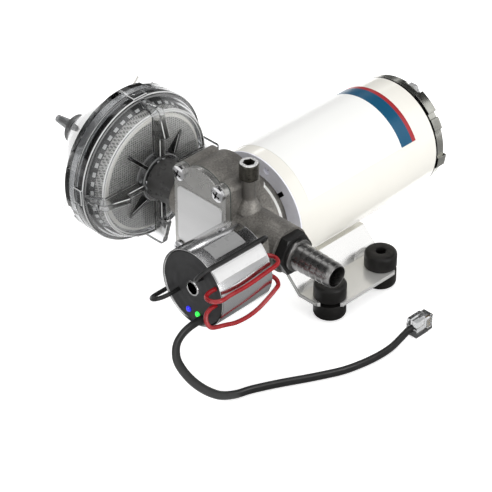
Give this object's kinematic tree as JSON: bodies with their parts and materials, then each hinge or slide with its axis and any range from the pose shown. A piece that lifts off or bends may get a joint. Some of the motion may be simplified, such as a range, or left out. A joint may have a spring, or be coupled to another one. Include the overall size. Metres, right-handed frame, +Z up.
{
  "type": "water pump",
  "caption": "Caravan water pump: brush motor on a footed saddle drives a gear pump with a clear inlet strainer, hose barb, relief valve and electronic pressure sensor with a data lead.",
  "frame": {"origin": "on the floor, at the centre of the four screw holes through the feet", "axes": "+X towards the outlet barb, +Y along the motor away from the pump head, +Z up"},
  "size_m": [0.2058, 0.2096, 0.1056],
  "materials": {
    "sheet_steel": "satin sheet",
    "rubber_black": "matt",
    "zinc": "plated",
    "motor_white": "gloss white paint",
    "label_white": "printed film, left bare",
    "cap_grey": "die cast",
    "cap_dark": "moulded",
    "magnet": "ferrite",
    "bearing_steel": "ground",
    "phenolic": "moulded",
    "carbon": "carbon",
    "spring_steel": "drawn wire",
    "shaft_steel": "ground",
    "core_iron": "stacked sheet",
    "copper": "enamelled",
    "casting": "cast, plated",
    "cover_metal": "machined",
    "gasket": "sheet",
    "badge": "brushed, left bare",
    "brass": "machined",
    "gear_white": "moulded",
    "plug_metal": "blackened",
    "black_plastic": "moulded",
    "barb_grey": "moulded",
    "clear_plastic": "clear moulding",
    "screen_steel": "woven mesh",
    "chrome": "polished",
    "sensor_black": "moulded",
    "patch": "printed film, left bare",
    "board": "circuit board",
    "lamp_blue": "lit",
    "lamp_green": "lit",
    "wire_red": "insulation",
    "wire_black": "insulation",
    "lead_black": "flat lead",
    "contact_gold": "plated"
  },
  "bodies": {
    "base": {"base_bracket": "sheet_steel", "rubber_feet": "rubber_black", "bracket_screws": "zinc", "motor_tube": "motor_white", "motor_label": "label_white", "front_end_cap": "cap_grey", "rear_end_cap": "cap_dark", "tie_bolts": "zinc", "field_magnets": "magnet", "front_bearing": "bearing_steel", "rear_bearing": "bearing_steel", "brush_holder": "phenolic", "carbon_brushes": "carbon", "brush_springs": "spring_steel", "pump_body": "casting", "pump_cover": "cover_metal", "cover_gasket": "gasket", "cover_screws": "zinc", "cover_badge": "badge", "flange_screws": "zinc", "gear_pin": "shaft_steel", "shaft_seal": "rubber_black", "relief_plug": "plug_metal", "relief_spring": "spring_steel", "outlet_nut": "black_plastic", "outlet_barb": "barb_grey", "outlet_seal": "rubber_black", "inlet_adaptor": "black_plastic", "strainer_bowl": "clear_plastic", "strainer_screen": "screen_steel", "strainer_seal": "rubber_black", "sensor_case": "chrome", "sensor_cap": "sensor_black", "sensor_eyelet": "chrome", "sensor_stem": "zinc", "sensor_labels": "patch", "control_board": "board", "lamp_blue": "lamp_blue", "lamp_green": "lamp_green", "red_wire_upper": "wire_red", "red_wire_lower": "wire_red", "black_wire_top": "wire_black", "black_wire_side": "wire_black", "data_lead": "lead_black", "data_plug": "clear_plastic", "plug_contacts": "contact_gold"},
    "armature": {"armature_shaft": "shaft_steel", "armature_core": "core_iron", "armature_windings": "copper", "commutator": "copper", "drive_gear": "brass"},
    "driven": {"driven_gear": "gear_white"},
    "poppet": {"relief_poppet": "gear_white"},
    "lid": {"strainer_lid": "clear_plastic"}
  },
  "joints": [
    {"name": "armature_spin", "type": "hinge", "parent": "base", "child": "armature", "pos_m": [0, 0, 0.0525], "axis": [0, 1, 0], "continuous": true},
    {"name": "driven_spin", "type": "hinge", "parent": "base", "child": "driven", "pos_m": [0, -0.0615, 0.0765], "axis": [0, 1, 0], "continuous": true},
    {"name": "relief_lift", "type": "slide", "parent": "base", "child": "poppet", "axis": [0, 0, 1], "range_m": [0, 0.003], "stiffness_N_per_m": 800, "springref_m": -0.002, "deforming": ["relief_spring"]},
    {"name": "lid_twist", "type": "hinge", "parent": "base", "child": "lid", "pos_m": [-0.07, -0.059, 0.0637], "axis": [1, 0, 0], "range_deg": [0, 30]}
  ],
  "couplings": [
    {"joint": "driven_spin", "follows": "armature_spin", "ratio": -1}
  ]
}
